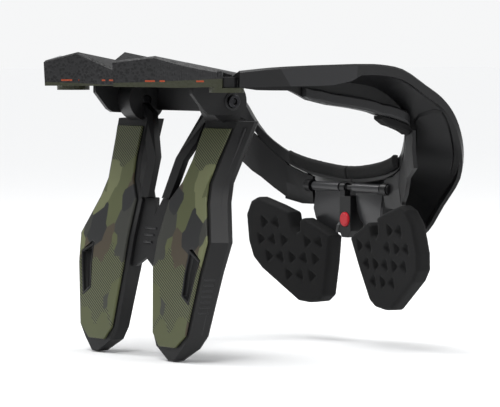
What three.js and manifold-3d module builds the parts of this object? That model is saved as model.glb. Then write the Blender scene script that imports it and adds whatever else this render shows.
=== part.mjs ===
// Motocross neck brace, in millimetres, +Z up.
// +Y is the way the wearer looks and +X is the wearer's right.
// The origin is the middle of the neck opening at the level of the shoulders.
// Two jaws carry the side and front of the collar. Each turns on an upright pin at the back.
import * as THREE from 'three';
import { mergeVertices } from 'three/addons/utils/BufferGeometryUtils.js';
import Module from 'manifold-3d';

const wasm = await Module();
wasm.setup();

// Reach of the collar, from the origin.
const HALF_WIDTH = 132;
const REAR_REACH = 164;
const FRONT_REACH = 112;
const RIM_HEIGHT = 39;
const FRONT_DROP = 100;

// Neck opening.
const NECK_HALF_WIDTH = 98;
const NECK_FRONT = 85;
const NECK_REAR = 63;
const NECK_HEIGHT = 24;
const NECK_DROP = 50;

// Walls and gaps.
const SHELL = 3;
const SKIRT = 15;
const INNER_LIP = 20;
const FIT = 0.3;
const SEAM = 0.8;
const STEPS = 3;

// Upright pins of the jaws.
const PIN_SHARE = 0.4165;
const PIN_BEHIND = 2.96;
const PIN_RADIUS = 2.5;
const KNUCKLE_RADIUS = 9.2;
const SOCKET_WALL = 2.8;
const SOCKET_FLOOR = 3.4;
const JAW_SWING = 25;

// Hinge rod of the chest pads.
const ROD_Y = 82;
const ROD_Z = -65.5;
const ROD_RADIUS = 2.2;
const ROD_BEYOND = 5;
const BARREL_RADIUS = 3.7;
const BOSS_RADIUS = 4.8;

// Foam and padding.
const RIM_PAD_THICK = 5.5;
const RIM_PAD_TALL = 10.5;
const SIDE_PAD_THICK = 6;
const BAR_DEEP = 7;
const BAR_TALL = 9;
const BAR_ROUND = 1.5;
const CHEST_PAD_WIDTH = 97;
const CHEST_PAD_TALL = 82;
const CHEST_PAD_THICK = 13;
const CHEST_PAD_INNER = 13;
const CHEST_PAD_TOP = 10;
const CHEST_PAD_Y = 69;
const CHEST_PAD_LEAN = 0.17;
const CHEST_PAD_TOE = 0.11;
const PAD_DIMPLE = 2.4;
const DIMPLE_PITCH = 13.5;

// Chest plates.
const PLATE_INNER = 9;
const PLATE_OUTER = 43;
const PLATE_LENGTH = 50;
const PLATE_TAPER = 12;
const PLATE_THICK = 2.5;
const ROD_HALF_LENGTH = PLATE_OUTER + ROD_BEYOND;
const CHASSIS_CLEAR = 3;
const CHASSIS_START = 0.765;
const BOSS_LENGTH = 6.6;

// Latch between the jaws.
const LATCH_HALF_WIDTH = 7;
const LATCH_REAR = 79;
const LATCH_DEPTH = 12.5;
const LATCH_TOP = -72;
const LATCH_TALL = 32;
const BUTTON_RADIUS = 5.6;
const BUTTON_LENGTH = 8.2;
const BUTTON_PROUD = 1.4;
const BUTTON_TRAVEL = 3;
const BUTTON_Z = -90;

// Struts down the back.
const STRUT_X = 61;
const STRUT_LENGTH = 174;
const STRUT_WIDTH = 80;
const STRUT_THICK = 14;
const STRUT_TOP = -11.3;
const STRUT_FLANK = 9;
const STRUT_LEAN = 40;
const PANEL_THICK = 1.8;
const PANEL_MARGIN = 3;
const WEB_THICK = 4;
const WEB_SET = 4;
const YOKE_THICK = 5;
const YOKE_DROP = 73;

// Pivot of each strut and what carries it.
const PIVOT_Y = -73;
const PIVOT_Z = 3;
const LUG_RADIUS = 16;
const LUG_WIDTH = 16.5;
const LUG_OFFSET = 1.5;
const BRACKET_GAP = 0.5;
const BRACKET_THICK = 4;
const BRACKET_RADIUS = 10.5;
const BRACKET_REACH = 35;
const BRACKET_TOP = 14.5;
const BRACKET_RAISED = 24;
const BOLT_RADIUS = 3.5;
const BOLT_HEAD_RADIUS = 5;
const BOLT_HEAD_LENGTH = 3;
const CENTRE_PLATE_Y = -64;
const CENTRE_PLATE_THICK = 4;
const CENTRE_PLATE_BOTTOM = -5;

const ROUND = 28;

// Side and front of the collar, right half, from the pin round to the front seam.
// Shares: rim of HALF_WIDTH, of REAR_REACH or FRONT_REACH, and of RIM_HEIGHT or FRONT_DROP.
// neck of NECK_HALF_WIDTH, of NECK_FRONT, and of NECK_HEIGHT or NECK_DROP. skirt of SKIRT, lip of INNER_LIP.
const RAIL = [
  { rimX: 0.875, rimY: -0.61, rimZ: 0.66, skirt: 0.8, neckX: 0.96, neckY: -1.09, neckZ: 0.88, lip: 0.33 },
  { rimX: 0.917, rimY: -0.457, rimZ: 0.72, skirt: 0.93, neckX: 0.98, neckY: -0.85, neckZ: 0.83, lip: 0.42 },
  { rimX: 0.947, rimY: -0.256, rimZ: 0.757, skirt: 1, neckX: 0.99, neckY: -0.53, neckZ: 0.81, lip: 0.42 },
  { rimX: 0.955, rimY: -0.15, rimZ: 0.77, skirt: 1, neckX: 0.99, neckY: -0.35, neckZ: 0.8, lip: 0.75 },
  { rimX: 0.962, rimY: -0.05, rimZ: 0.78, skirt: 0.83, neckX: 0.99, neckY: -0.14, neckZ: 0.79, lip: 0.93 },
  { rimX: 0.966, rimY: 0, rimZ: 0.78, skirt: 0.56, neckX: 0.99, neckY: -0.04, neckZ: 0.79, lip: 0.98 },
  { rimX: 0.977, rimY: 0.143, rimZ: 0.77, skirt: 0.53, neckX: 0.995, neckY: 0.15, neckZ: 0.75, lip: 1.05 },
  { rimX: 0.989, rimY: 0.32, rimZ: 0.68, skirt: 0.53, neckX: 1.005, neckY: 0.376, neckZ: 0.6, lip: 1.1 },
  { rimX: 0.996, rimY: 0.51, rimZ: 0.372, skirt: 0.53, neckX: 1.015, neckY: 0.576, neckZ: 0.167, lip: 0.8 },
  { rimX: 1, rimY: 0.634, rimZ: 0.154, skirt: 0.53, neckX: 1.015, neckY: 0.67, neckZ: -0.1, lip: 0.55 },
  { rimX: 1, rimY: 0.714, rimZ: -0.03, skirt: 0.53, neckX: 1, neckY: 0.718, neckZ: -0.26, lip: 0.42 },
  { rimX: 0.992, rimY: 0.777, rimZ: -0.14, skirt: 0.53, neckX: 0.95, neckY: 0.765, neckZ: -0.42, lip: 0.42 },
  { rimX: 0.947, rimY: 0.857, rimZ: -0.3, skirt: 0.53, neckX: 0.857, neckY: 0.83, neckZ: -0.6, lip: 0.45 },
  { rimX: 0.826, rimY: 0.955, rimZ: -0.48, skirt: 0.53, neckX: 0.724, neckY: 0.906, neckZ: -0.78, lip: 0.5 },
  { rimX: 0.636, rimY: 0.99, rimZ: -0.7, skirt: 0.53, neckX: 0.56, neckY: 0.947, neckZ: -0.88, lip: 0.55 },
  { rimX: 0.485, rimY: 1, rimZ: -0.9, skirt: 0.5, neckX: 0.388, neckY: 0.976, neckZ: -0.94, lip: 0.57 },
  { rimX: 0.364, rimY: 1, rimZ: -0.97, skirt: 0.46, neckX: 0.224, neckY: 0.994, neckZ: -0.98, lip: 0.57 },
  { rimX: 0.18, rimY: 0.98, rimZ: -0.94, skirt: 0.46, neckX: 0.1, neckY: 1, neckZ: -1, lip: 0.57 },
  { rimX: 0, rimY: 0.964, rimZ: -0.88, skirt: 0.46, neckX: 0, neckY: 1, neckZ: -1, lip: 0.57 },
];

// Rear shell, right half, from the middle notch over the horn to the socket. Neck depth is of NECK_REAR.
const REAR = [
  { rimX: 0, rimY: -0.805, rimZ: 0.68, skirt: 0.83, neckX: 0, neckY: -1.02, neckZ: 0.96, lip: 0.25 },
  { rimX: 0.1, rimY: -0.835, rimZ: 0.81, skirt: 1.17, neckX: 0.143, neckY: -1.015, neckZ: 0.96, lip: 0.25 },
  { rimX: 0.242, rimY: -0.884, rimZ: 1, skirt: 1.67, neckX: 0.276, neckY: -1, neckZ: 0.98, lip: 0.25 },
  { rimX: 0.356, rimY: -1, rimZ: 0.84, skirt: 1.25, neckX: 0.388, neckY: -0.985, neckZ: 1, lip: 0.25 },
  { rimX: 0.492, rimY: -0.854, rimZ: 0.93, skirt: 1.5, neckX: 0.49, neckY: -0.985, neckZ: 1, lip: 0.25 },
  { rimX: 0.606, rimY: -0.805, rimZ: 0.82, skirt: 1.24, neckX: 0.633, neckY: -1.03, neckZ: 1, lip: 0.25 },
  { rimX: 0.735, rimY: -0.744, rimZ: 0.72, skirt: 0.95, neckX: 0.776, neckY: -1.14, neckZ: 0.96, lip: 0.25 },
  { rimX: 0.82, rimY: -0.7, rimZ: 0.67, skirt: 0.8, neckX: 0.9, neckY: -1.36, neckZ: 0.92, lip: 0.25 },
];

// Lateral wall below the front of the rail. along: which rail row its top follows. x of NECK_HALF_WIDTH,
// y of NECK_FRONT, top and bottom of NECK_DROP.
const SHOULDER_WALL = [
  { x: 1.14, y: 0.682, top: -0.38, bottom: -0.94 },
  { x: 1.02, y: 0.712, top: -0.48, bottom: -1.1 },
  { x: 0.95, y: 0.765, top: -0.6, bottom: -1.2 },
  { x: 0.857, y: 0.83, top: -0.79, bottom: -1.36 },
  { x: 0.74, y: 0.895, top: -0.98, bottom: -1.52 },
];

// The same wall nearer the middle. across runs from the chest plate's side to the lateral wall.
const FRONT_CHASSIS = [
  { across: 1, y: 0.884, top: -0.98, bottom: -1.53 },
  { across: 0.44, y: 0.94, top: -1.11, bottom: -1.6 },
  { across: 0, y: 0.958, top: -1.17, bottom: -1.6 },
];

// Strut sections from top to tip. down of STRUT_LENGTH, inner and outer of STRUT_WIDTH from STRUT_X,
// lean of STRUT_LEAN, thick of STRUT_THICK.
const STRUT = [
  { down: 0, inner: -0.29, outer: 0.34, lean: 0, thick: 1 },
  { down: 0.166, inner: -0.325, outer: 0.262, lean: 0.25, thick: 1 },
  { down: 0.258, inner: -0.387, outer: 0.225, lean: 0.385, thick: 1 },
  { down: 0.338, inner: -0.525, outer: 0.268, lean: 0.5, thick: 1 },
  { down: 0.499, inner: -0.55, outer: 0.446, lean: 0.72, thick: 1 },
  { down: 0.625, inner: -0.55, outer: 0.4, lean: 0.83, thick: 0.95 },
  { down: 0.89, inner: -0.456, outer: 0.275, lean: 0.96, thick: 0.85 },
  { down: 0.945, inner: -0.387, outer: 0.17, lean: 0.98, thick: 0.8 },
  { down: 1, inner: -0.18, outer: -0.03, lean: 1, thick: 0.6 },
];
const REAR_FACE_TOP = -77;

// Vent through strut and panel. x of STRUT_WIDTH from STRUT_X, down of STRUT_LENGTH.
const STRUT_VENT = [
  { x: 0.04, down: 0.535 },
  { x: 0.08, down: 0.53 },
  { x: 0.24, down: 0.575 },
  { x: 0.13, down: 0.765 },
  { x: 0, down: 0.73 },
];
// Web, in shares of STRUT_LENGTH. The dip's half width is a share of the web's.
const WEB_TOP = 0.332;
const WEB_APEX = 0.585;
const WEB_BOTTOM = 0.625;
const WEB_DIP = { half: 0.3, down: 0.4 };

// Arm from the web up to a pivot. x of the way from the middle to the lug, z of YOKE_DROP below the pivot.
const YOKE = [
  { x: 0.2, z: 0.985 },
  { x: 0.41, z: 0.985 },
  { x: 0.48, z: 0.81 },
  { x: 0.53, z: 0.6 },
  { x: 0.75, z: 0.41 },
  { x: 0.81, z: 0.22 },
  { x: 1, z: 0.17 },
  { x: 1, z: 0.03 },
  { x: 0.72, z: 0.13 },
  { x: 0.29, z: 0.58 },
  { x: 0.24, z: 0.8 },
];

// Chest pad outline. x of CHEST_PAD_WIDTH from CHEST_PAD_INNER, down of CHEST_PAD_TALL from CHEST_PAD_TOP.
const CHEST_PAD = [
  { x: 0, down: 0.34 },
  { x: 0.08, down: 0.29 },
  { x: 0.3, down: 0.18 },
  { x: 0.345, down: 0.21 },
  { x: 0.355, down: 0.3 },
  { x: 0.395, down: 0.325 },
  { x: 0.435, down: 0.27 },
  { x: 0.45, down: 0.13 },
  { x: 0.6, down: 0.07 },
  { x: 0.82, down: 0 },
  { x: 0.9, down: 0.04 },
  { x: 0.98, down: 0.17 },
  { x: 1, down: 0.43 },
  { x: 0.97, down: 0.59 },
  { x: 0.88, down: 0.7 },
  { x: 0.49, down: 0.99 },
  { x: 0.38, down: 1 },
  { x: 0.24, down: 0.98 },
  { x: 0.165, down: 0.92 },
  { x: 0.07, down: 0.62 },
];

const group = new THREE.Group();

// Turns a geometry so that its faces point outwards and only positions are left.
function closed(geometry) {
  let g = geometry.index ? geometry.toNonIndexed() : geometry.clone();
  g.deleteAttribute('normal');
  g.deleteAttribute('uv');
  g = mergeVertices(g, 1e-3);
  const p = g.attributes.position;
  const index = Array.from(g.index.array);
  let volume = 0;
  const [a, b, c] = [new THREE.Vector3(), new THREE.Vector3(), new THREE.Vector3()];
  const kept = [];
  for (let i = 0; i < index.length; i += 3) {
    const [i0, i1, i2] = index.slice(i, i + 3);
    if (i0 === i1 || i1 === i2 || i0 === i2) continue;
    kept.push(i0, i1, i2);
    a.fromBufferAttribute(p, i0);
    b.fromBufferAttribute(p, i1);
    c.fromBufferAttribute(p, i2);
    volume += a.dot(b.cross(c));
  }
  if (volume < 0) for (let i = 0; i < kept.length; i += 3) [kept[i], kept[i + 1]] = [kept[i + 1], kept[i]];
  g.setIndex(kept);
  return g;
}

function solid(geometry) {
  const g = closed(geometry);
  const mesh = new wasm.Mesh({
    numProp: 3,
    vertProperties: new Float32Array(g.attributes.position.array),
    triVerts: new Uint32Array(g.index.array),
  });
  return new wasm.Manifold(mesh);
}

function geometryOf(manifold) {
  const mesh = manifold.getMesh();
  const g = new THREE.BufferGeometry();
  g.setAttribute('position', new THREE.BufferAttribute(new Float32Array(mesh.vertProperties), 3));
  g.setIndex(Array.from(mesh.triVerts));
  return g;
}

function cut(geometry, ...tools) {
  return geometryOf(tools.reduce((body, tool) => body.subtract(solid(tool)), solid(geometry)));
}

// Cuts the room that the other bodies need, with the fitting gap on every side, and keeps the largest piece.
function fitted(geometry, ...others) {
  let body = solid(geometry);
  for (const other of others) {
    const tool = solid(other);
    for (const [x, y, z] of [[1, 0, 0], [-1, 0, 0], [0, 1, 0], [0, -1, 0], [0, 0, 1], [0, 0, -1]]) {
      body = body.subtract(tool.translate([x * FIT, y * FIT, z * FIT]));
    }
  }
  const pieces = body.decompose().sort((a, b) => b.volume() - a.volume());
  return geometryOf(pieces[0]);
}

function join(geometry, ...more) {
  return geometryOf(more.reduce((body, other) => body.add(solid(other)), solid(geometry)));
}

function mirrored(geometry) {
  const g = geometry.clone();
  g.scale(-1, 1, 1);
  return closed(g);
}

// Skins a row of rings of equal length and closes both ends.
function loft(rings) {
  const n = rings[0].length;
  const points = rings.flat();
  const index = [];
  for (let r = 0; r + 1 < rings.length; r += 1) {
    for (let i = 0; i < n; i += 1) {
      const a = r * n + i;
      const b = r * n + ((i + 1) % n);
      index.push(a, b, b + n, a, b + n, a + n);
    }
  }
  for (const end of [0, rings.length - 1]) {
    const flat = flatten(rings[end]);
    for (const [a, b, c] of THREE.ShapeUtils.triangulateShape(flat, [])) {
      if (end === 0) index.push(a, c, b);
      else index.push(end * n + a, end * n + b, end * n + c);
    }
  }
  const g = new THREE.BufferGeometry().setFromPoints(points);
  g.setIndex(index);
  return closed(g);
}

// A ring seen along its own axis, turning the same way round as the ring.
function flatten(ring) {
  const normal = new THREE.Vector3();
  ring.forEach((p, i) => {
    const q = ring[(i + 1) % ring.length];
    normal.x += (p.y - q.y) * (p.z + q.z);
    normal.y += (p.z - q.z) * (p.x + q.x);
    normal.z += (p.x - q.x) * (p.y + q.y);
  });
  normal.normalize();
  const side = new THREE.Vector3(1, 0, 0);
  if (Math.abs(normal.x) > 0.9) side.set(0, 1, 0);
  const u = side.clone().addScaledVector(normal, -side.dot(normal)).normalize();
  const v = new THREE.Vector3().crossVectors(normal, u);
  return ring.map((p) => new THREE.Vector2(p.dot(u), p.dot(v)));
}

// A flat outline in X and Z, thickened along Y from near to far.
function slab(outline, near, far) {
  return loft([near, far].map((y) => outline.map(([x, z]) => new THREE.Vector3(x, y, z))));
}

function rod(radius, axis, from, to, centre, sides = ROUND) {
  const g = new THREE.CylinderGeometry(radius, radius, to - from, sides);
  const middle = (from + to) / 2;
  if (axis === 'x') g.rotateZ(Math.PI / 2).translate(middle, centre[0], centre[1]);
  if (axis === 'y') g.translate(centre[0], middle, centre[1]);
  if (axis === 'z') g.rotateX(Math.PI / 2).translate(centre[0], centre[1], middle);
  return g;
}

function block(x0, x1, y0, y1, z0, z1) {
  const g = new THREE.BoxGeometry(x1 - x0, y1 - y0, z1 - z0);
  return g.translate((x0 + x1) / 2, (y0 + y1) / 2, (z0 + z1) / 2);
}

const finish = {
  shell: { color: 0x232325, roughness: 0.55 },
  chassis: { color: 0x2c2c2e, roughness: 0.6 },
  foam: { color: 0x141415, roughness: 0.95 },
  camo: { color: 0x66694c, roughness: 0.5 },
  satin: { color: 0x4a4b4d, roughness: 0.35 },
  steel: { color: 0x55565a, roughness: 0.35, metalness: 0.9 },
  red: { color: 0xb81e2d, roughness: 0.4 },
};

function add(name, geometry, look) {
  const material = new THREE.MeshStandardMaterial(finish[look]);
  const g = closed(geometry);
  g.computeVertexNormals();
  const mesh = new THREE.Mesh(g, material);
  mesh.name = name;
  group.add(mesh);
}

function addPair(name, geometry, look) {
  add(`${name}_right`, geometry, look);
  add(`${name}_left`, mirrored(geometry), look);
}

const pick = (share, ahead, behind) => (share >= 0 ? share * ahead : share * behind);

// One row of a collar table as real points and lengths.
function station(row, neckBehind) {
  return {
    rim: new THREE.Vector3(
      row.rimX * HALF_WIDTH,
      pick(row.rimY, FRONT_REACH, REAR_REACH),
      pick(row.rimZ, RIM_HEIGHT, FRONT_DROP),
    ),
    neck: new THREE.Vector3(
      row.neckX * NECK_HALF_WIDTH,
      pick(row.neckY, NECK_FRONT, neckBehind),
      pick(row.neckZ, NECK_HEIGHT, NECK_DROP),
    ),
    skirt: row.skirt * SKIRT,
    lip: row.lip * INNER_LIP,
  };
}

// Smooth run of stations between the rows of a table.
function smooth(rows) {
  const rim = new THREE.CatmullRomCurve3(rows.map((r) => r.rim), false, 'centripetal');
  const neck = new THREE.CatmullRomCurve3(rows.map((r) => r.neck), false, 'centripetal');
  const count = (rows.length - 1) * STEPS;
  return Array.from({ length: count + 1 }, (_, i) => {
    const at = i / STEPS;
    const low = Math.min(Math.floor(at), rows.length - 2);
    const mix = (key) => THREE.MathUtils.lerp(rows[low][key], rows[low + 1][key], at - low);
    return {
      rim: rim.getPoint(i / count),
      neck: neck.getPoint(i / count),
      skirt: mix('skirt'),
      lip: mix('lip'),
    };
  });
}

// Level direction from the neck edge to the rim of a station, and the slope of its table.
function across(s) {
  const out = new THREE.Vector3(s.rim.x - s.neck.x, s.rim.y - s.neck.y, 0);
  const width = out.length();
  out.divideScalar(width);
  const rise = (s.rim.z - s.neck.z) / width;
  const deep = SHELL * Math.hypot(1, rise);
  return { out, width, rise, deep };
}

const shift = (p, out, level, up) => new THREE.Vector3(p.x + out.x * level, p.y + out.y * level, p.z + up);

// Section of a collar shell: skirt, table and lip, open below.
function shellRing(s) {
  const { out, rise, deep } = across(s);
  return [
    shift(s.rim, out, -1, -s.skirt),
    shift(s.rim, out, 0, -1.5),
    shift(s.rim, out, -1.5, 0),
    shift(s.neck, out, 0.8, 0),
    shift(s.neck, out, 0, -0.8),
    shift(s.neck, out, 0, -s.lip),
    shift(s.neck, out, SHELL, -s.lip),
    shift(s.neck, out, SHELL, rise * SHELL - deep),
    shift(s.rim, out, -SHELL - 0.6, -deep - rise * SHELL),
    shift(s.rim, out, -SHELL - 1, -s.skirt),
  ];
}

const railRows = RAIL.map((row) => station(row, NECK_FRONT));
const railStations = smooth(railRows);
const seamX = SEAM / 2;

// Place of the right pin: between neck edge and rim, just behind the end of the rail.
const pinX = THREE.MathUtils.lerp(railRows[0].neck.x, railRows[0].rim.x, PIN_SHARE);
const pinY = railRows[0].rim.y - PIN_BEHIND;

// Stretch of the rail between two table rows.
const stretch = (from, to) => railStations.slice(Math.round(from * STEPS), Math.round(to * STEPS) + 1);

function sideRail() {
  const body = loft(railStations.map(shellRing));
  const first = railStations[0];
  const bottom = first.rim.z - first.skirt;
  const knuckle = rod(KNUCKLE_RADIUS, 'z', bottom, first.neck.z, [pinX, pinY]);
  const bore = rod(PIN_RADIUS + FIT, 'z', bottom - 1, first.neck.z + 1, [pinX, pinY], 16);
  const past = block(-HALF_WIDTH, seamX, 0, 2 * FRONT_REACH, -2 * FRONT_DROP, RIM_HEIGHT);
  return cut(join(body, knuckle), bore, past);
}

function rearShell() {
  const half = REAR.map((row) => station(row, NECK_REAR));
  const other = half.slice(1).reverse().map((s) => ({
    ...s,
    rim: s.rim.clone().multiply(new THREE.Vector3(-1, 1, 1)),
    neck: s.neck.clone().multiply(new THREE.Vector3(-1, 1, 1)),
  }));
  const body = loft([...other, ...half].map(shellRing));
  const floorTop = railStations[0].rim.z - railStations[0].skirt - FIT;
  const bottom = floorTop - SOCKET_FLOOR;
  const top = half[half.length - 1].rim.z - 1;
  const clear = KNUCKLE_RADIUS + 0.5;
  const socket = rod(clear + SOCKET_WALL, 'z', bottom, top, [pinX, pinY]);
  const tools = [rod(clear, 'z', floorTop, RIM_HEIGHT * 2, [pinX, pinY])];
  const { out } = across(railStations[0]);
  const line = THREE.MathUtils.radToDeg(Math.atan2(out.y, out.x));
  for (const turn of [line, line - JAW_SWING - 3]) {
    const reach = clear + SOCKET_WALL + 3;
    const gap = block(-reach, reach, -FIT - 0.2, reach, floorTop, RIM_HEIGHT * 2);
    tools.push(gap.rotateZ(THREE.MathUtils.degToRad(turn)).translate(pinX, pinY, 0));
  }
  tools.push(rod(PIN_RADIUS + FIT, 'z', bottom - 1, floorTop + 1, [pinX, pinY], 16));
  return cut(join(body, socket, mirrored(socket)), ...tools, ...tools.map(mirrored));
}

// Bar along the outside of the inner lip.
function barRing(s, inner, outer, low, high, bevel) {
  const { out } = across(s);
  return [
    shift(s.neck, out, inner, -s.lip + low),
    shift(s.neck, out, outer - bevel, -s.lip + low),
    shift(s.neck, out, outer, -s.lip + low + bevel),
    shift(s.neck, out, outer, -s.lip + high - bevel),
    shift(s.neck, out, outer - bevel, -s.lip + high),
    shift(s.neck, out, inner, -s.lip + high),
  ];
}

function sideChassis() {
  const near = SHELL + FIT;
  return loft(stretch(2.67, 9).map((s, i, all) => {
    const end = Math.min(1, (Math.min(i, all.length - 1 - i) + 1) / 3);
    const deep = BAR_DEEP * THREE.MathUtils.lerp(0.43, 1, end);
    const tall = BAR_TALL * THREE.MathUtils.lerp(0.67, 1, end);
    return barRing(s, near, near + deep, 0, tall, BAR_ROUND * end);
  }));
}

function sidePad() {
  return loft(stretch(7, 9.33).map((s, i, all) => {
    const end = i === 0 ? 0.45 : i === all.length - 1 ? 0.7 : 1;
    return barRing(s, 0.5, SHELL + 6, -FIT - SIDE_PAD_THICK * end, -FIT, 1.2 * end);
  }));
}

// Foam roll on the neck side of the front lip.
function rimPad() {
  const roll = loft(stretch(13, 18).map((s) => {
    const { out } = across(s);
    const top = 1.5;
    const low = top - RIM_PAD_TALL;
    const inner = -FIT - RIM_PAD_THICK;
    return [
      shift(s.neck, out, -FIT, top - 1),
      shift(s.neck, out, -FIT - 1.5, top),
      shift(s.neck, out, inner + 1.5, top - 0.6),
      shift(s.neck, out, inner, top - 2.6),
      shift(s.neck, out, inner + 0.6, low + 2.2),
      shift(s.neck, out, inner + 2.2, low),
      shift(s.neck, out, -FIT, low),
    ];
  }));
  return cut(roll, block(-HALF_WIDTH, seamX, 0, 2 * FRONT_REACH, -FRONT_DROP, RIM_HEIGHT));
}

// Upright wall below the lip, from a table of places.
function wall(rows, thick) {
  const place = (r) => new THREE.Vector3(r.x * NECK_HALF_WIDTH, r.y * NECK_FRONT, 0);
  return loft(rows.map((r, i) => {
    const p = place(r);
    const q = place(rows[Math.min(i + 1, rows.length - 1)]).sub(place(rows[Math.max(i - 1, 0)])).normalize();
    const out = new THREE.Vector3(q.y, -q.x, 0);
    const top = r.top * NECK_DROP;
    const bottom = r.bottom * NECK_DROP;
    const step = (top + bottom) / 2;
    return [
      shift(p, out, 0.6, top),
      shift(p, out, -0.2, step),
      shift(p, out, 1.4, bottom),
      shift(p, out, 1.4 + thick, bottom),
      shift(p, out, thick, step),
      shift(p, out, thick, top),
    ];
  }));
}

function frontChassis() {
  const inner = PLATE_OUTER + CHASSIS_CLEAR;
  const outer = CHASSIS_START * NECK_HALF_WIDTH;
  const rows = FRONT_CHASSIS.map((r) => {
    const x = THREE.MathUtils.lerp(inner, outer, r.across);
    return { ...r, x: x / NECK_HALF_WIDTH };
  });
  const body = wall(rows, SHELL);
  const boss = rod(BOSS_RADIUS, 'x', inner - FIT, inner - FIT + BOSS_LENGTH, [ROD_Y, ROD_Z]);
  const bore = rod(ROD_RADIUS + FIT, 'x', PLATE_OUTER, ROD_HALF_LENGTH + FIT, [ROD_Y, ROD_Z], 20);
  return cut(join(body, boss), bore);
}

// Dark panel below the table at the front corner, between two shares of the table's width.
function underPanel() {
  return loft(stretch(9.33, 14.33).map((s, i, all) => {
    const { out, width, rise, deep } = across(s);
    const end = i === 0 || i === all.length - 1 ? 0.12 : 0;
    const at = (share, drop) => shift(s.neck, out, width * share, rise * width * share - deep - drop);
    const near = (SHELL + 6) / width + end;
    const far = 0.84 - end;
    return [at(near, FIT), at(far, FIT), at(far - 0.02, FIT + 2.4), at(near + 0.02, FIT + 2.4)];
  }));
}

function hingeRod() {
  return rod(ROD_RADIUS, 'x', seamX, ROD_HALF_LENGTH, [ROD_Y, ROD_Z], 20);
}

const padRear = (x, down) =>
  CHEST_PAD_Y + CHEST_PAD_LEAN * (down - CHEST_PAD_TOP) - CHEST_PAD_TOE * (x - CHEST_PAD_INNER);

const padPoint = (x, down, forward) => new THREE.Vector3(x, padRear(x, down) + forward, ROD_Z - down);

const padOutline = CHEST_PAD.map((p) => [
  CHEST_PAD_INNER + p.x * CHEST_PAD_WIDTH,
  CHEST_PAD_TOP + p.down * CHEST_PAD_TALL,
]);

function inset(outline, by) {
  const area = outline.reduce((sum, [x, y], i) => {
    const [u, v] = outline[(i + 1) % outline.length];
    return sum + x * v - u * y;
  }, 0);
  return outline.map(([x, y], i) => {
    const before = outline[(i + outline.length - 1) % outline.length];
    const after = outline[(i + 1) % outline.length];
    const a = new THREE.Vector2(x - before[0], y - before[1]).normalize();
    const b = new THREE.Vector2(after[0] - x, after[1] - y).normalize();
    const n = new THREE.Vector2(-(a.y + b.y), a.x + b.x).normalize().multiplyScalar(Math.sign(area) * by);
    return [x + n.x, y + n.y];
  });
}

// Foam pad with softened edges, and rows of triangular dimples on the side that meets the chest.
function chestPad() {
  const layers = [[2, 0], [0.5, 1], [0, 3.5], [0, CHEST_PAD_THICK - 2], [1.2, CHEST_PAD_THICK]];
  const body = loft(layers.map(([by, forward]) =>
    inset(padOutline, by).map(([x, down]) => padPoint(x, down, forward))));
  const inside = inset(padOutline, 8.5);
  const shape = inside.map(([x, down]) => new THREE.Vector2(x, down));
  const pitch = DIMPLE_PITCH;
  const size = DIMPLE_PITCH * 0.46;
  const dimples = [];
  for (let row = 0; row * pitch < CHEST_PAD_TALL; row += 1) {
    const down = CHEST_PAD_TOP + 6 + row * pitch;
    for (let x = CHEST_PAD_INNER + (row % 2) * pitch / 2; x < CHEST_PAD_INNER + CHEST_PAD_WIDTH; x += pitch) {
      if (!holds(shape, x, down)) continue;
      const turn = (row + Math.round(x / pitch)) % 2 ? Math.PI : 0;
      const ring = (r, forward) => [0, 1, 2].map((k) => {
        const a = turn + (k * 2 * Math.PI) / 3;
        return padPoint(x + r * Math.cos(a), down + r * Math.sin(a), forward);
      });
      dimples.push(loft([ring(size, -0.5), ring(size * 0.8, PAD_DIMPLE)]));
    }
  }
  return cut(body, ...dimples);
}

function holds(polygon, x, y) {
  let inside = false;
  polygon.forEach((p, i) => {
    const q = polygon[(i + 1) % polygon.length];
    if ((p.y > y) !== (q.y > y) && x < ((q.x - p.x) * (y - p.y)) / (q.y - p.y) + p.x) inside = !inside;
  });
  return inside;
}

// Satin plate that hangs on the rod and backs the foam pad.
function chestPlate() {
  const behind = CHEST_PAD_THICK + FIT;
  const rows = [0, 0.16, 0.35, 0.5, 0.6, 0.7, 1].map((share) => {
    const down = share * PLATE_LENGTH;
    const blend = THREE.MathUtils.smoothstep(down, 2, 20);
    const narrow = PLATE_TAPER * THREE.MathUtils.smoothstep(share, 0.42, 0.66);
    const place = (x, forward) => {
      const hung = ROD_Y + BARREL_RADIUS - PLATE_THICK - 0.2 + forward;
      const backed = padRear(x, down) + behind + forward;
      return new THREE.Vector3(x, THREE.MathUtils.lerp(hung, backed, blend), ROD_Z - down);
    };
    const left = PLATE_INNER + narrow;
    const right = PLATE_OUTER - narrow * 0.4;
    return [place(left, 0), place(right, 0), place(right, PLATE_THICK), place(left, PLATE_THICK)];
  });
  const barrel = rod(BARREL_RADIUS, 'x', PLATE_INNER, PLATE_OUTER, [ROD_Y, ROD_Z]);
  const bore = rod(ROD_RADIUS + FIT, 'x', 0, PLATE_OUTER + 5, [ROD_Y, ROD_Z], 20);
  return cut(join(loft(rows), barrel), bore);
}

function latchBody() {
  const bottom = LATCH_TOP - LATCH_TALL;
  const w = LATCH_HALF_WIDTH;
  const outline = [
    [-w, LATCH_TOP], [w, LATCH_TOP], [w, bottom + 5], [w - 3, bottom], [-w + 3, bottom], [-w, bottom + 5],
  ];
  const body = slab(outline, LATCH_REAR, LATCH_REAR + LATCH_DEPTH);
  const hanger = block(-w, -seamX - FIT, ROD_Y - 2.6, ROD_Y + 2.6, LATCH_TOP - 1, ROD_Z);
  const eye = rod(BARREL_RADIUS, 'x', -w, -seamX - FIT, [ROD_Y, ROD_Z]);
  const bore = rod(ROD_RADIUS + FIT, 'x', -w - 1, 0, [ROD_Y, ROD_Z], 20);
  const depth = BUTTON_LENGTH - BUTTON_PROUD + BUTTON_TRAVEL + 0.5;
  const well = rod(BUTTON_RADIUS + FIT, 'y', LATCH_REAR - 1, LATCH_REAR + depth, [0, BUTTON_Z]);
  return cut(join(body, hanger, eye), bore, well);
}

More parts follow.
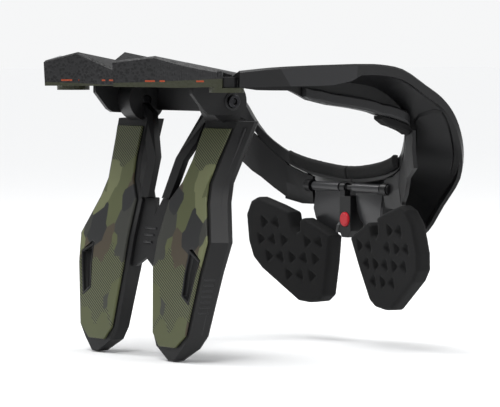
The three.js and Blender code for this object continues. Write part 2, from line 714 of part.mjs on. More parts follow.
function releaseButton() {
  const from = LATCH_REAR - BUTTON_PROUD;
  const cap = rod(BUTTON_RADIUS - 0.8, 'y', from, from + 1.2, [0, BUTTON_Z]);
  return join(rod(BUTTON_RADIUS, 'y', from + 0.6, from + BUTTON_LENGTH, [0, BUTTON_Z]), cap);
}

// Rear face of the struts at a share of their length.
function strutLean(down) {
  const i = Math.max(0, STRUT.findIndex((r) => r.down > down) - 1);
  const low = down >= 1 ? STRUT.length - 2 : i;
  const [a, b] = [STRUT[low], STRUT[low + 1]];
  return REAR_FACE_TOP - STRUT_LEAN * THREE.MathUtils.mapLinear(down, a.down, b.down, a.lean, b.lean);
}

const strutZ = (down) => STRUT_TOP - down * STRUT_LENGTH;
const ventCut = (outline) => slab(outline, -REAR_REACH, 0);

function strutVent() {
  return ventCut(STRUT_VENT.map((p) => [STRUT_X + p.x * STRUT_WIDTH, strutZ(p.down)]));
}

function strutFrame() {
  const body = loft(STRUT.map((r) => {
    const inner = STRUT_X + r.inner * STRUT_WIDTH;
    const outer = STRUT_X + r.outer * STRUT_WIDTH;
    const flank = Math.min(STRUT_FLANK, (outer - inner) * 0.3);
    const rear = strutLean(r.down);
    const front = rear + STRUT_THICK * r.thick;
    const at = (x, y) => new THREE.Vector3(x, y, strutZ(r.down));
    return [
      at(inner, rear + 2), at(inner + 1.5, rear), at(outer - flank, rear), at(outer, rear + flank),
      at(outer, front - 2), at(outer - 2, front), at(inner, front),
    ];
  }));
  const lugX = STRUT_X + LUG_OFFSET;
  const lug = rod(LUG_RADIUS, 'x', lugX - LUG_WIDTH, lugX, [PIVOT_Y, PIVOT_Z], 36);
  const bore = rod(BOLT_RADIUS + FIT, 'x', lugX - LUG_WIDTH - 1, lugX + 1, [PIVOT_Y, PIVOT_Z], 20);
  return cut(join(body, lug), bore, strutVent());
}

function strutPanel() {
  const rows = STRUT.slice(0, -1).map((r, i) => {
    const inner = STRUT_X + r.inner * STRUT_WIDTH;
    const outer = STRUT_X + r.outer * STRUT_WIDTH;
    const down = i === 0 ? r.down + 0.03 : r.down;
    const end = i === STRUT.length - 2 ? 4 : 0;
    const rear = strutLean(down) - FIT;
    const at = (x, y) => new THREE.Vector3(x, y, strutZ(down));
    const left = inner + PANEL_MARGIN + end;
    const right = outer - STRUT_FLANK - PANEL_MARGIN - end;
    const top = rear - PANEL_THICK;
    return [at(left, rear), at(right, rear), at(right - 0.5, top), at(left + 0.5, top)];
  });
  return cut(loft(rows), strutVent());
}

// Web between the struts, with a notch below and a dip above.
function strutWeb() {
  const rows = STRUT.filter((r) => r.down > WEB_TOP && r.down <= WEB_BOTTOM);
  const tops = [{ ...rows[0], down: WEB_TOP }, ...rows.slice(1)];
  const rings = (sign) => tops.map((r) => {
    const edge = STRUT_X + r.inner * STRUT_WIDTH - FIT;
    const rear = strutLean(r.down) + WEB_SET;
    return [[0, rear], [sign * edge, rear], [sign * edge, rear + WEB_THICK], [0, rear + WEB_THICK]]
      .map(([x, y]) => new THREE.Vector3(x, y, strutZ(r.down)));
  });
  const half = tops[tops.length - 1].inner * STRUT_WIDTH + STRUT_X;
  const notch = ventCut([
    [-half + 3, strutZ(WEB_BOTTOM) - 1], [0, strutZ(WEB_APEX)], [half - 3, strutZ(WEB_BOTTOM) - 1],
  ]);
  const wide = half * WEB_DIP.half;
  const above = strutZ(WEB_TOP) + 1;
  const dip = ventCut([[-wide, above], [0, strutZ(WEB_DIP.down)], [wide, above]]);
  const sheet = join(loft(rings(1)), loft(rings(-1)));
  return cut(sheet, notch, dip);
}

// Arm that carries the web from the inner face of a lug.
function strutYoke() {
  const reach = STRUT_X + LUG_OFFSET - LUG_WIDTH - FIT;
  const outline = YOKE.map((r) => [r.x * reach, PIVOT_Z - r.z * YOKE_DROP]);
  const rear = (z) => strutLean(Math.max(0, (STRUT_TOP - z) / STRUT_LENGTH));
  return loft([0, YOKE_THICK].map((forward) =>
    outline.map(([x, z]) => new THREE.Vector3(x, rear(z) + forward, z))));
}

function centrePlate() {
  const half = STRUT_X + LUG_OFFSET - LUG_WIDTH - FIT;
  const top = NECK_HEIGHT * REAR[0].neckZ - REAR[0].lip * INNER_LIP - FIT;
  return block(-half, half, CENTRE_PLATE_Y, CENTRE_PLATE_Y + CENTRE_PLATE_THICK, CENTRE_PLATE_BOTTOM, top);
}

// Bracket plate outside each lug, hung below the rear shell.
function strutBracket(shell) {
  const near = STRUT_X + LUG_OFFSET + BRACKET_GAP;
  const arc = Array.from({ length: 13 }, (_, i) => {
    const a = THREE.MathUtils.degToRad(-100 + i * 15);
    return [PIVOT_Y + BRACKET_RADIUS * Math.cos(a), PIVOT_Z + BRACKET_RADIUS * Math.sin(a)];
  });
  const behind = (share) => PIVOT_Y - share * BRACKET_REACH;
  const below = (share) => PIVOT_Z - share * BRACKET_RADIUS;
  const outline = [
    [behind(1), BRACKET_TOP - BRACKET_RADIUS * 0.57], [behind(0.69), below(0.67)], [behind(0.57), below(0.9)],
    ...arc, [behind(0.03), (BRACKET_TOP + BRACKET_RAISED) / 2], [behind(0.23), BRACKET_RAISED],
    [behind(0.86), BRACKET_RAISED], [behind(1), BRACKET_TOP],
  ];
  const side = (x) => outline.map(([y, z]) => new THREE.Vector3(x, y, z));
  const plate = loft([side(near), side(near + BRACKET_THICK)]);
  const bolt = rod(BOLT_RADIUS + FIT, 'x', near - 1, near + BRACKET_THICK + 1, [PIVOT_Y, PIVOT_Z], 20);
  return fitted(cut(plate, bolt), shell);
}

function pivotBolt() {
  const face = STRUT_X + LUG_OFFSET + BRACKET_GAP + BRACKET_THICK + FIT;
  const shank = rod(BOLT_RADIUS, 'x', STRUT_X + LUG_OFFSET - LUG_WIDTH, face + 0.5, [PIVOT_Y, PIVOT_Z], 20);
  const head = rod(BOLT_HEAD_RADIUS, 'x', face, face + BOLT_HEAD_LENGTH, [PIVOT_Y, PIVOT_Z]);
  const key = rod(BOLT_HEAD_RADIUS * 0.5, 'x', face + 1, face + BOLT_HEAD_LENGTH + 1, [PIVOT_Y, PIVOT_Z], 6);
  return cut(join(shank, head), key);
}

function jawPin() {
  const first = railStations[0];
  const bottom = first.rim.z - first.skirt - FIT - SOCKET_FLOOR;
  return rod(PIN_RADIUS, 'z', bottom, first.neck.z, [pinX, pinY], 16);
}

const shell = rearShell();
add('rear_shell', shell, 'shell');
add('rear_centre_plate', centrePlate(), 'chassis');
addPair('strut_bracket', strutBracket(shell), 'chassis');
addPair('pivot_bolt', pivotBolt(), 'steel');
addPair('jaw_pin', jawPin(), 'steel');
addPair('strut_frame', strutFrame(), 'shell');
addPair('strut_panel', strutPanel(), 'camo');
add('strut_web', strutWeb(), 'chassis');
addPair('strut_yoke', fitted(strutYoke(), strutFrame(), strutWeb()), 'shell');
const rail = sideRail();
const shoulderWall = fitted(wall(SHOULDER_WALL, SHELL), rail);
addPair('side_rail', rail, 'shell');
addPair('side_chassis', sideChassis(), 'chassis');
addPair('side_pad', fitted(sidePad(), shoulderWall), 'foam');
addPair('shoulder_wall', shoulderWall, 'chassis');
addPair('front_chassis', fitted(frontChassis(), rail, shoulderWall), 'chassis');
addPair('under_panel', fitted(underPanel(), rail), 'foam');
addPair('rim_pad', rimPad(), 'foam');
addPair('hinge_rod', hingeRod(), 'steel');
addPair('chest_plate', chestPlate(), 'satin');
addPair('chest_pad', chestPad(), 'foam');
add('latch_body', latchBody(), 'chassis');
add('release_button', releaseButton(), 'red');

export default group;
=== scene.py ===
# %% [markdown]
# # Motocross neck brace
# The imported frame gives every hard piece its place. This script gives those pieces their finish,
# softens their edges, models the foam pads and the trim, and sets the studio and the camera.
# All lengths are in metres: +X is the wearer's right, +Y is forward and +Z is up.

# %% Load the frame
import math
import bpy
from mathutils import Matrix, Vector


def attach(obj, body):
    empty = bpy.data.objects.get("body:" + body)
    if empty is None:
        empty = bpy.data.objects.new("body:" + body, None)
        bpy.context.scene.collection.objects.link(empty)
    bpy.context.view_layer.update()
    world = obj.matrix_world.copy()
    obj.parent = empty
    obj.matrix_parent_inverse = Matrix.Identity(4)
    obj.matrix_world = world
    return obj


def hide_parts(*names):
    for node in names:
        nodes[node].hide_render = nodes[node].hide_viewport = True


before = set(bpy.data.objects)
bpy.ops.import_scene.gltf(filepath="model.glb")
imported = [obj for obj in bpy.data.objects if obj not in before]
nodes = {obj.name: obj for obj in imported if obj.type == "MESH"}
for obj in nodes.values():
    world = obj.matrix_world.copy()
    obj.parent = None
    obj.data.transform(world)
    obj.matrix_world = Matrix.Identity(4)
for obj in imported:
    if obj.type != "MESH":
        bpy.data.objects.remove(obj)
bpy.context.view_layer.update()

# %% [markdown]
# ## Small helpers
# Each new piece starts from a primitive with nothing else selected. The first helper clears the
# selection, and the second adds a modifier and applies it.

# %% Selecting, modifiers and smoothing
def only(obj):
    bpy.ops.object.select_all(action="DESELECT")
    obj.select_set(True)
    bpy.context.view_layer.objects.active = obj


def applied(obj, kind, **settings):
    only(obj)
    modifier = obj.modifiers.new(kind.lower(), kind)
    for key, value in settings.items():
        setattr(modifier, key, value)
    bpy.ops.object.modifier_apply(modifier=modifier.name)


def smooth(obj, degrees=35):
    only(obj)
    bpy.ops.object.shade_smooth_by_angle(angle=math.radians(degrees))


# %% [markdown]
# ## Shader helpers
# Patterns come from object coordinates, so they stay with the piece when it moves.

# %% Nodes for materials
grain_detail = 3
grain_strength = 0.6
plastic_shine = 0.3


def maths(tree, kind, a, b=0.0):
    node = tree.nodes.new("ShaderNodeMath")
    node.operation = kind
    for socket, value in zip(node.inputs, (a, b)):
        if isinstance(value, (int, float)):
            socket.default_value = value
        else:
            tree.links.new(value, socket)
    return node.outputs[0]


def mixed(tree, factor, first, second):
    node = tree.nodes.new("ShaderNodeMix")
    node.data_type = "RGBA"
    tree.links.new(factor, node.inputs["Factor"])
    for socket, value in ((node.inputs[6], first), (node.inputs[7], second)):
        if isinstance(value, tuple):
            socket.default_value = (*value, 1)
        else:
            tree.links.new(value, socket)
    return node.outputs[2]


def material(name, color, rough, metal=0.0, grain=900.0, depth=0.0):
    mat = bpy.data.materials.new(name)
    mat.use_nodes = True
    tree = mat.node_tree
    shader = tree.nodes["Principled BSDF"]
    shader.inputs["Base Color"].default_value = (*color, 1)
    shader.inputs["Roughness"].default_value = rough
    shader.inputs["Metallic"].default_value = metal
    shader.inputs["Specular IOR Level"].default_value = plastic_shine
    coords = tree.nodes.new("ShaderNodeTexCoord").outputs["Object"]
    if depth:
        noise = tree.nodes.new("ShaderNodeTexNoise")
        noise.inputs["Scale"].default_value = grain
        noise.inputs["Detail"].default_value = grain_detail
        tree.links.new(coords, noise.inputs["Vector"])
        bump = tree.nodes.new("ShaderNodeBump")
        bump.inputs["Distance"].default_value = depth
        bump.inputs["Strength"].default_value = grain_strength
        tree.links.new(noise.outputs["Fac"], bump.inputs["Height"])
        tree.links.new(bump.outputs["Normal"], shader.inputs["Normal"])
    return mat, tree, shader, coords


def placed(tree, coords):
    split = tree.nodes.new("ShaderNodeSeparateXYZ")
    tree.links.new(coords, split.inputs[0])
    return split.outputs


def both(tree, *masks):
    result = masks[0]
    for mask in masks[1:]:
        result = maths(tree, "MULTIPLY", result, mask)
    return result


print("helpers ready")

# %% [markdown]
# ## Plain finishes
# The mouldings are black and charcoal plastic with a fine grain. The foam is the dullest, and the
# bolts and rods are blackened steel.

# %% Plain materials
black = material("black plastic", (0.0035, 0.0035, 0.004), 0.4, depth=0.00006)[0]
charcoal = material("charcoal plastic", (0.0075, 0.0075, 0.008), 0.46, depth=0.00008)[0]
mid_grey = material("mid grey plastic", (0.015, 0.015, 0.016), 0.42, depth=0.00006)[0]
foam = material("foam", (0.0035, 0.0035, 0.0038), 0.85, grain=1500, depth=0.00025)[0]
satin = material("satin plate", (0.030, 0.030, 0.032), 0.28, depth=0.00003)[0]
steel = material("blackened steel", (0.035, 0.035, 0.038), 0.32, metal=1.0)[0]
red = material("red plastic", (0.50, 0.012, 0.022), 0.32)[0]
print(len(bpy.data.materials), "materials")

# %% [markdown]
# ## Camouflage
# Angular patches in olive, brown and grey come from a cell pattern stretched along the strut.
# Fine slanted lines cover the top of each strut, and most of the patches in a belt lower down. A
# second, smaller cell pattern gives that top and that belt their stepped edges.

# %% Camouflage material
camo_scale = 42
area_scale = camo_scale * 1.3
belt_bottom, belt_top = -0.152, -0.114
neck_start = -0.042
lines_a_metre, line_share = 420, 0.48
plain_share = 0.3
lined_olive, line_shade = (0.105, 0.115, 0.055), (0.009, 0.0095, 0.008)


def camouflage(name):
    mat, tree, shader, coords = material(name, (0.1, 0.1, 0.1), 0.38)
    stretch = tree.nodes.new("ShaderNodeMapping")
    stretch.inputs["Rotation"].default_value = (0.3, 0.5, 0.2)
    stretch.inputs["Scale"].default_value = (1.0, 1.0, 0.55)
    x, y, z = placed(tree, coords)
    fold = tree.nodes.new("ShaderNodeCombineXYZ")
    for socket, value in zip(fold.inputs, (maths(tree, "ABSOLUTE", x), y, z)):
        tree.links.new(value, socket)
    tree.links.new(fold.outputs[0], stretch.inputs["Vector"])
    cells = tree.nodes.new("ShaderNodeTexVoronoi")
    cells.distance = "MANHATTAN"
    cells.inputs["Scale"].default_value = camo_scale
    tree.links.new(stretch.outputs[0], cells.inputs["Vector"])
    value = tree.nodes.new("ShaderNodeSeparateColor")
    tree.links.new(cells.outputs["Color"], value.inputs[0])
    ramp = tree.nodes.new("ShaderNodeValToRGB")
    ramp.color_ramp.interpolation = "CONSTANT"
    stops = ramp.color_ramp.elements
    patches = [(0.0, (0.072, 0.080, 0.034)), (0.36, (0.014, 0.0145, 0.015)), (0.5, (0.125, 0.135, 0.066)),
               (0.68, (0.052, 0.041, 0.026)), (0.84, (0.030, 0.031, 0.026))]
    while len(stops) < len(patches):
        stops.new(0.5)
    for stop, (where, color) in zip(stops, patches):
        stop.position = where
        stop.color = (*color, 1)
    tree.links.new(value.outputs[0], ramp.inputs[0])
    upright = maths(tree, "ADD", z, y)
    slant = maths(tree, "ADD", upright, maths(tree, "MULTIPLY", x, 0.7))
    phase = maths(tree, "FRACT", maths(tree, "MULTIPLY", slant, lines_a_metre))
    line = maths(tree, "LESS_THAN", phase, line_share)
    areas = tree.nodes.new("ShaderNodeTexVoronoi")
    areas.distance = "MANHATTAN"
    areas.inputs["Scale"].default_value = area_scale
    tree.links.new(fold.outputs[0], areas.inputs["Vector"])
    height = placed(tree, areas.outputs["Position"])[2]
    above = maths(tree, "GREATER_THAN", height, belt_bottom)
    belt = both(tree, above, maths(tree, "LESS_THAN", height, belt_top))
    top = maths(tree, "GREATER_THAN", height, neck_start)
    patch = both(tree, belt, maths(tree, "GREATER_THAN", value.outputs[1], plain_share))
    chosen = maths(tree, "MAXIMUM", patch, top)
    olive = mixed(tree, chosen, ramp.outputs[0], lined_olive)
    shade = mixed(tree, both(tree, line, chosen), olive, line_shade)
    tree.links.new(shade, shader.inputs["Base Color"])
    return mat


camo = camouflage("camouflage")
print("camouflage made")

# %% [markdown]
# ## Finish of the rear shell
# The upward facet of each horn carries a painted highlight in light grey, and a band of fine stripes
# follows the side rim. The low edge of the shell is olive with short orange marks above it, and the
# surface has a fine net. The rail's material is plain, except for a painted highlight on its upright
# outside facet.

# %% Rear shell and rail materials
# Edges of the painted highlight on the horn facet; the outer edge also bounds the striped band.
highlight_inner, highlight_outer, highlight_rear = 0.0472, 0.0655, -0.112
rim_slope, rim_start, band_width = 0.925, 0.205, 0.022
stripes_a_metre, stripe_share = 620, 0.45
net_scale, thread_edge = 420, 0.44
low_slope, low_height = 0.05, 0.0145
flash_bottom, flash_top = 0.0176, 0.0188
facing_up, facing_side = 0.7, 0.5


def shell_finish():
    mat, tree, shader, coords = material("rear shell", (0.014, 0.014, 0.015), 0.4)
    x, y, z = placed(tree, coords)
    side = maths(tree, "ABSOLUTE", x)
    normal = placed(tree, tree.nodes["Texture Coordinate"].outputs["Normal"])
    upward = maths(tree, "GREATER_THAN", normal[2], facing_up)
    beside = maths(tree, "GREATER_THAN", side, highlight_outer)
    within = maths(tree, "LESS_THAN", side, highlight_outer)
    across = both(tree, maths(tree, "GREATER_THAN", side, highlight_inner), within)
    # Painted highlight: upward faces of each horn between these edges are painted light grey.
    painted_highlight = both(tree, across, maths(tree, "LESS_THAN", y, highlight_rear), upward)
    rim_line = maths(tree, "SUBTRACT", maths(tree, "MULTIPLY", side, rim_slope), rim_start)
    beyond = maths(tree, "SUBTRACT", y, rim_line)
    band = both(tree, maths(tree, "LESS_THAN", beyond, band_width), beside)
    phase = maths(tree, "FRACT", maths(tree, "MULTIPLY", side, stripes_a_metre))
    stripe = maths(tree, "LESS_THAN", phase, stripe_share)
    net = tree.nodes.new("ShaderNodeTexVoronoi")
    net.inputs["Scale"].default_value = net_scale
    tree.links.new(coords, net.inputs["Vector"])
    above_slope = maths(tree, "SUBTRACT", z, maths(tree, "MULTIPLY", side, low_slope))
    low = maths(tree, "LESS_THAN", above_slope, low_height)
    thin = both(tree, maths(tree, "GREATER_THAN", z, flash_bottom), maths(tree, "LESS_THAN", z, flash_top))
    spread = maths(tree, "LESS_THAN", maths(tree, "FRACT", maths(tree, "MULTIPLY", side, 33)), 0.38)
    broken = maths(tree, "LESS_THAN", maths(tree, "FRACT", maths(tree, "MULTIPLY", side, 117)), 0.6)
    flash = both(tree, thin, spread, broken, maths(tree, "LESS_THAN", normal[2], facing_side))
    base = mixed(tree, band, (0.0045, 0.0045, 0.005), (0.017, 0.017, 0.018))
    base = mixed(tree, both(tree, band, stripe), base, (0.007, 0.007, 0.0075))
    threads = both(tree, maths(tree, "GREATER_THAN", net.outputs["Distance"], thread_edge),
                   maths(tree, "LESS_THAN", normal[1], 0.2))
    base = mixed(tree, threads, base, (0.013, 0.013, 0.014))
    # The painted highlight on the horn facet is light grey.
    base = mixed(tree, painted_highlight, base, (0.27, 0.275, 0.285))
    base = mixed(tree, low, base, (0.028, 0.030, 0.016))
    base = mixed(tree, flash, base, (0.30, 0.045, 0.012))
    tree.links.new(base, shader.inputs["Base Color"])
    bump = tree.nodes.new("ShaderNodeBump")
    bump.inputs["Distance"].default_value = 0.0004
    bump.inputs["Strength"].default_value = 0.5
    tree.links.new(net.outputs["Distance"], bump.inputs["Height"])
    tree.links.new(bump.outputs["Normal"], shader.inputs["Normal"])
    return mat


def rail_finish():
    mat, tree, shader, coords = material("collar rail", (0.0055, 0.0055, 0.006), 0.36, depth=0.00005)
    x, y, z = placed(tree, coords)
    normal = placed(tree, tree.nodes["Texture Coordinate"].outputs["Normal"])
    upright = maths(tree, "LESS_THAN", maths(tree, "ABSOLUTE", normal[2]), facing_side)
    outside = maths(tree, "GREATER_THAN", maths(tree, "ABSOLUTE", x), 0.11)
    start = maths(tree, "GREATER_THAN", maths(tree, "ADD", y, maths(tree, "MULTIPLY", z, 0.7)), -0.05)
    # Painted highlight: upright faces on the outside of the rail are painted lighter than the rest.
    painted_highlight = both(tree, upright, outside, start, maths(tree, "LESS_THAN", y, -0.004))
    base = mixed(tree, painted_highlight, (0.0055, 0.0055, 0.006), (0.018, 0.018, 0.0195))
    tree.links.new(base, shader.inputs["Base Color"])
    return mat


rail_mat = rail_finish()
shell_mat = shell_finish()
print("rear shell finish made")

# %% [markdown]
# ## The frame nodes
# Each node gets its finish. Modifiers weld it, join its flat faces and round its edges, which
# leaves the frame's own vertices as they are.

# %% Finish the nodes
weld_distance = 0.00002
flat_degrees = 1.5
edge_width, edge_degrees = 0.0007, 28

finishes = {
    "rear_shell": shell_mat, "rear_centre_plate": charcoal, "strut_bracket": charcoal, "pivot_bolt": steel,
    "jaw_pin": steel, "strut_frame": charcoal, "strut_panel": camo, "strut_web": charcoal,
    "strut_yoke": black, "side_rail": rail_mat, "side_chassis": mid_grey, "side_pad": foam,
    "shoulder_wall": charcoal, "front_chassis": black, "under_panel": black, "rim_pad": foam,
    "hinge_rod": black, "chest_plate": satin, "chest_pad": foam, "latch_body": black, "release_button": red,
}


def base_name(name):
    return name.removesuffix("_right").removesuffix("_left")


def finish_node(name, obj):
    obj.data.materials.clear()
    obj.data.materials.append(finishes[base_name(name)])
    only(obj)
    if obj.data.has_custom_normals:
        bpy.ops.mesh.customdata_custom_splitnormals_clear()
    weld = obj.modifiers.new("weld", "WELD")
    weld.merge_threshold = weld_distance
    flat = obj.modifiers.new("flat", "DECIMATE")
    flat.decimate_type = "DISSOLVE"
    flat.angle_limit = math.radians(flat_degrees)
    bevel = obj.modifiers.new("edges", "BEVEL")
    bevel.width = edge_width
    bevel.segments = 2
    bevel.limit_method = "ANGLE"
    bevel.angle_limit = math.radians(edge_degrees)
    bevel.harden_normals = True
    smooth(obj, edge_degrees)


for name, obj in nodes.items():
    finish_node(name, obj)
print("finished", len(nodes), "nodes")

# %% [markdown]
# ## Foam chest pads and rim pads
# Each pad starts as a copy of its solid. It is remeshed into small even faces and relaxed, so its
# border, and the triangular recesses of a chest pad, get the soft edges of moulded foam.

# %% Foam copies
foam_voxel = 0.0009


def soft_copy(node_name, body, fineness, rounds):
    source = nodes[node_name]
    pad = source.copy()
    pad.data = source.data.copy()
    pad.parent = None
    pad.matrix_world = source.matrix_world.copy()
    bpy.context.scene.collection.objects.link(pad)
    pad.name = node_name + "_foam"
    pad.modifiers.clear()
    only(pad)
    bpy.ops.object.transform_apply(location=True, rotation=True, scale=True)
    applied(pad, "REMESH", mode="VOXEL", voxel_size=fineness)
    applied(pad, "SMOOTH", factor=0.5, iterations=rounds)
    for face in pad.data.polygons:
        face.use_smooth = True
    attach(pad, body)
    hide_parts(node_name)
    return pad


for side in ("right", "left"):
    pad = soft_copy(f"chest_pad_{side}", f"chest_{side}", foam_voxel, 2)
    roll = soft_copy(f"rim_pad_{side}", f"jaw_{side}", foam_voxel, 4)
    print(side, len(pad.data.polygons), len(roll.data.polygons))

# %% [markdown]
# ## Trim on the struts
# A strip is extruded edge by edge down a short run of points, then thickened and bevelled. The
# points are mirrored for the other side. The ring helper serves a later cell.

# %% Strip and ring helpers, and the strut strips
def strip(name, path, wide, thick, body, finish):
    bpy.ops.object.select_all(action="DESELECT")
    start = Vector(path[0])
    bpy.ops.mesh.primitive_plane_add(size=1, location=(0, 0, 0))
    obj = bpy.context.active_object
    obj.name = name
    bpy.ops.object.mode_set(mode="EDIT")
    bpy.ops.mesh.delete(type="ONLY_FACE")
    bpy.ops.mesh.select_all(action="SELECT")
    bpy.ops.mesh.merge(type="CENTER")
    bpy.ops.transform.translate(value=start - Vector((wide / 2, 0, 0)))
    bpy.ops.mesh.extrude_region_move(TRANSFORM_OT_translate={"value": (wide, 0, 0)})
    bpy.ops.mesh.select_all(action="SELECT")
    for here, there in zip(path, path[1:]):
        bpy.ops.mesh.extrude_region_move(TRANSFORM_OT_translate={"value": Vector(there) - Vector(here)})
    bpy.ops.mesh.select_all(action="SELECT")
    bpy.ops.mesh.normals_make_consistent(inside=False)
    bpy.ops.object.mode_set(mode="OBJECT")
    applied(obj, "SOLIDIFY", thickness=thick, offset=0)
    applied(obj, "BEVEL", width=thick * 0.3, segments=2)
    smooth(obj, 40)
    obj.data.materials.append(finish)
    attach(obj, body)
    return obj


def ring(name, radius, centre, thick, body, finish):
    bpy.ops.object.select_all(action="DESELECT")
    turn = (0, math.pi / 2, 0)
    bpy.ops.mesh.primitive_cylinder_add(vertices=48, radius=radius, depth=thick, end_fill_type="NGON",
                                        location=centre, rotation=turn)
    obj = bpy.context.active_object
    obj.name = name
    bpy.ops.object.transform_apply(location=True, rotation=True, scale=True)
    applied(obj, "BEVEL", width=thick * 0.25, segments=2)
    smooth(obj)
    obj.data.materials.append(finish)
    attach(obj, body)
    return obj


strut_rail = [(0.0835, -0.0735, -0.016), (0.0775, -0.0805, -0.040), (0.0745, -0.0855, -0.056),
              (0.0775, -0.0905, -0.070), (0.0915, -0.0985, -0.098), (0.0885, -0.1030, -0.120),
              (0.0790, -0.1085, -0.166)]
for side, sign in (("right", 1), ("left", -1)):
    path = [(sign * x, y, z) for x, y, z in strut_rail]
    piece = strip(f"strut_rail_{side}", path, 0.0035, 0.0018, "struts", mid_grey)
    print(piece.name, len(piece.data.polygons))

# %% [markdown]
# ## Vent frames
# A circle with five corners is moved to the corners of the vent. Its face is inset, the middle is
# deleted and the border is extruded, which leaves a raised frame round each vent.

# %% Raised frames round the vents
frame_proud, frame_width, frame_depth = 0.0022, 0.0018, 0.0042
vent_corners = [(0.0642, -0.1044), (0.0802, -0.1114), (0.0714, -0.1444), (0.0610, -0.1383), (0.0626, -0.1215)]


def strut_rear(z):
    rows = [(-0.0983, -0.1058), (-0.1200, -0.1102), (-0.1662, -0.1154)]
    for (z0, y0), (z1, y1) in zip(rows, rows[1:]):
        if z >= z1:
            break
    return y0 + (y1 - y0) * (z - z0) / (z1 - z0) - frame_proud


def vent_frame(side, sign):
    bpy.ops.object.select_all(action="DESELECT")
    bpy.ops.mesh.primitive_circle_add(vertices=5, radius=0.01, fill_type="NGON")
    obj = bpy.context.active_object
    obj.name = f"vent_frame_{side}"
    for vertex, (x, z) in zip(obj.data.vertices, vent_corners):
        vertex.co = (sign * x, strut_rear(z), z)
    bpy.ops.object.mode_set(mode="EDIT")
    bpy.ops.mesh.select_all(action="SELECT")
    bpy.ops.mesh.inset(thickness=frame_width)
    bpy.ops.mesh.delete(type="FACE")
    bpy.ops.mesh.select_all(action="SELECT")
    bpy.ops.mesh.extrude_region_move(TRANSFORM_OT_translate={"value": (0, frame_depth, 0)})
    bpy.ops.mesh.select_all(action="SELECT")
    bpy.ops.mesh.normals_make_consistent(inside=False)
    bpy.ops.object.mode_set(mode="OBJECT")
    applied(obj, "BEVEL", width=0.0004, segments=2)
    smooth(obj, 40)
    obj.data.materials.append(black)
    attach(obj, "struts")
    return obj


for side, sign in (("right", 1), ("left", -1)):
    print(vent_frame(side, sign).name)

# %% [markdown]
# ## Ribs on the outer flank
# Small blocks fill the grip on the outer edge of each strut, one block for each rib.

# %% Ribs on the flanks
def rib(name, centre, size, body, finish, turn):
    bpy.ops.object.select_all(action="DESELECT")
    bpy.ops.mesh.primitive_cube_add(size=1, location=centre, rotation=(0, 0, turn))
    obj = bpy.context.active_object
    obj.name = name
    obj.scale = size
    bpy.ops.object.transform_apply(location=True, rotation=True, scale=True)
    applied(obj, "BEVEL", width=min(size) * 0.3, segments=2)
    smooth(obj)
    obj.data.materials.append(finish)
    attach(obj, body)
    return obj


rib_count = 7
rib_sink = 0.0045
rib_size = (0.0078, 0.0016, 0.0017)
flank_top, flank_bottom = (0.0912, -0.1108, -0.1250), (0.0866, -0.1130, -0.1490)
for side, sign in (("right", 1), ("left", -1)):
    for k in range(rib_count):
        outer, rear, z = Vector(flank_top).lerp(Vector(flank_bottom), k / (rib_count - 1))
        centre = (sign * (outer - rib_sink), rear + rib_sink, z)
        rib(f"flank_rib_{side}_{k}", centre, rib_size, "struts", mid_grey,
            sign * math.radians(45))
print(2 * rib_count, "ribs")

# %% [markdown]
# Three longer blocks lie across the web between the struts. They are invented, not read from the
# real one.

# %% Ribs on the web
for k, (half, z) in enumerate(((0.0075, -0.0915), (0.0065, -0.0965), (0.0055, -0.1015))):
    rib(f"web_rib_{k}", (0, -0.0990 - 0.0032 * k / 2, z), (2 * half, 0.0030, 0.0018), "struts", mid_grey,
        0.0)

# %% [markdown]
# ## Washers and rod caps
# A thin washer sits under each pivot bolt. The cap on each end of the hinge rod is invented.

# %% Washers and rod caps
for side, sign in (("right", 1), ("left", -1)):
    pivot, rod_end = (sign * 0.0672, -0.073, 0.003), (sign * 0.0532, 0.082, -0.0655)
    ring(f"pivot_washer_{side}", 0.0068, pivot, 0.0008, "rear", mid_grey)
    ring(f"rod_cap_{side}", 0.0040, rod_end, 0.0012, f"jaw_{side}", mid_grey)
print("washers made")

# %% [markdown]
# ## Studio
# The floor is pale and plain. A soft sun shines straight down, three large lamps stand round the
# part, and the camera looks from the same angle as the photograph.

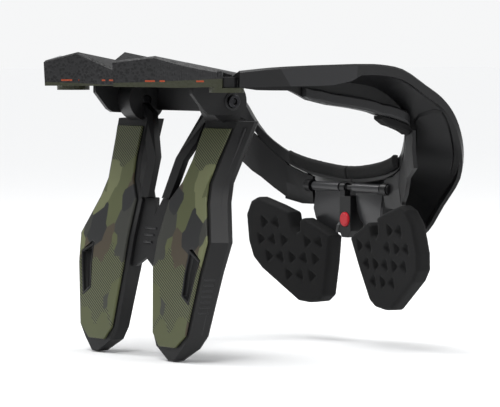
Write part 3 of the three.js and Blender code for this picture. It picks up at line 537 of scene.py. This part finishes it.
# %% Floor, lights and camera
bpy.ops.object.select_all(action="DESELECT")
bpy.ops.mesh.primitive_plane_add(size=60, location=(0, 0, -0.1862))
floor = bpy.context.active_object
floor.name = "floor"
pale = material("pale floor", (0.80, 0.805, 0.81), 0.95)[0]
floor.data.materials.append(pale)


def lamp(name, place, size, power):
    light = bpy.data.lights.new(name, "AREA")
    light.shape = "DISK"
    light.size = size
    light.energy = power
    obj = bpy.data.objects.new(name, light)
    bpy.context.scene.collection.objects.link(obj)
    obj.location = place
    aim = Vector((0, 0, -0.07)) - Vector(place)
    obj.rotation_euler = aim.to_track_quat("-Z", "Y").to_euler()


lamp("key", (0.9, -1.1, 1.4), 0.9, 15)
lamp("rim", (-1.2, -0.5, 1.3), 0.7, 16)
lamp("front", (0.6, 1.4, 0.9), 0.9, 9)
sun = bpy.data.lights.new("sun", "SUN")
sun.energy = 2.3
sun.angle = 0.7
sun_object = bpy.data.objects.new("sun", sun)
bpy.context.scene.collection.objects.link(sun_object)
world = bpy.data.worlds.new("studio")
bpy.context.scene.world = world
world.use_nodes = True
sky = world.node_tree
background = sky.nodes["Background"]
background.inputs[0].default_value = (0.97, 0.975, 0.98, 1)
seen = maths(sky, "MULTIPLY", sky.nodes.new("ShaderNodeLightPath").outputs["Is Camera Ray"], 0.5)
sky.links.new(maths(sky, "ADD", seen, 0.45), background.inputs[1])

azimuth, elevation, distance = math.radians(55), math.radians(2.6), 2.6
away = Vector((math.sin(azimuth) * math.cos(elevation), -math.cos(azimuth) * math.cos(elevation),
               math.sin(elevation)))
aim = Vector((-0.00487, -0.00695, -0.0758))
camera_data = bpy.data.cameras.new("camera")
camera = bpy.data.objects.new("camera", camera_data)
bpy.context.scene.collection.objects.link(camera)
camera.location = aim + away * distance
camera.rotation_euler = (-away).to_track_quat("-Z", "Y").to_euler()
camera_data.lens = 247
camera_data.sensor_width = 36
scene = bpy.context.scene
scene.camera = camera
scene.render.engine = "CYCLES"
scene.cycles.samples = 64
scene.render.resolution_x = 1000
scene.render.resolution_y = 814
scene.view_settings.view_transform = "Standard"
print("camera at", [round(v, 3) for v in camera.location])
